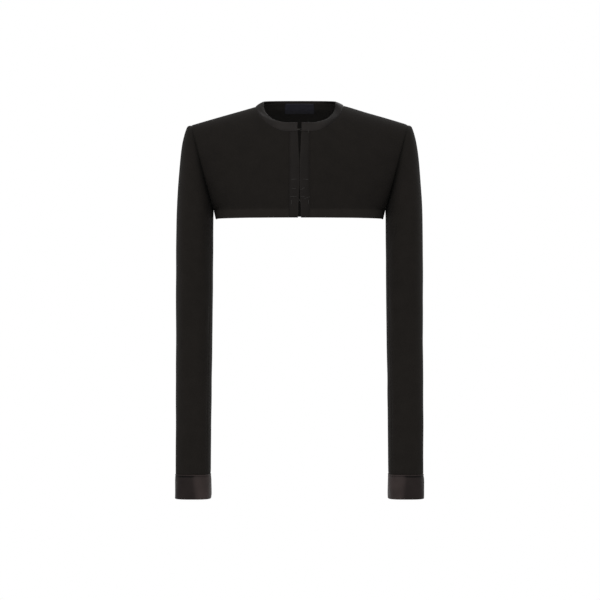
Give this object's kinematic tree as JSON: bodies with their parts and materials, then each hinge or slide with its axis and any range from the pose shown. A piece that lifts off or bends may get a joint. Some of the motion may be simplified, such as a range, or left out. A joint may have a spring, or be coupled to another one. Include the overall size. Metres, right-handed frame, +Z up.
{
  "type": "bolero jacket",
  "caption": "Cropped collarless jacket with long sleeves, satin neck binding, front bands and cuffs, closed edge to edge by small hooks.",
  "frame": {"origin": "between the shoulder seams, at the height of their middle, where the wearer's shoulders carry the jacket", "axes": "+Z up along the wearer, +Y towards the wearer's back, +X towards the wearer's left"},
  "size_m": [0.4104, 0.2172, 0.6598],
  "materials": {
    "crepe": "matte black wool crepe",
    "satin": "black satin with a soft sheen",
    "lining": "plain black facing cloth",
    "label": "woven ribbon, plain",
    "wire": "bent steel wire, dark nickel"
  },
  "bodies": {
    "root": {"back": "crepe", "front_left": "crepe", "front_right": "crepe", "front_band_left": "satin", "front_band_right": "satin", "neck_binding": "satin", "back_neck_facing": "lining", "label": "label", "upper_sleeve_left": "crepe", "upper_sleeve_right": "crepe", "under_sleeve_left": "crepe", "under_sleeve_right": "crepe", "cuff_left": "satin", "cuff_right": "satin", "hook_1": "wire", "hook_2": "wire", "hook_3": "wire", "eye_1": "wire", "eye_2": "wire", "eye_3": "wire"}
  },
  "joints": []
}
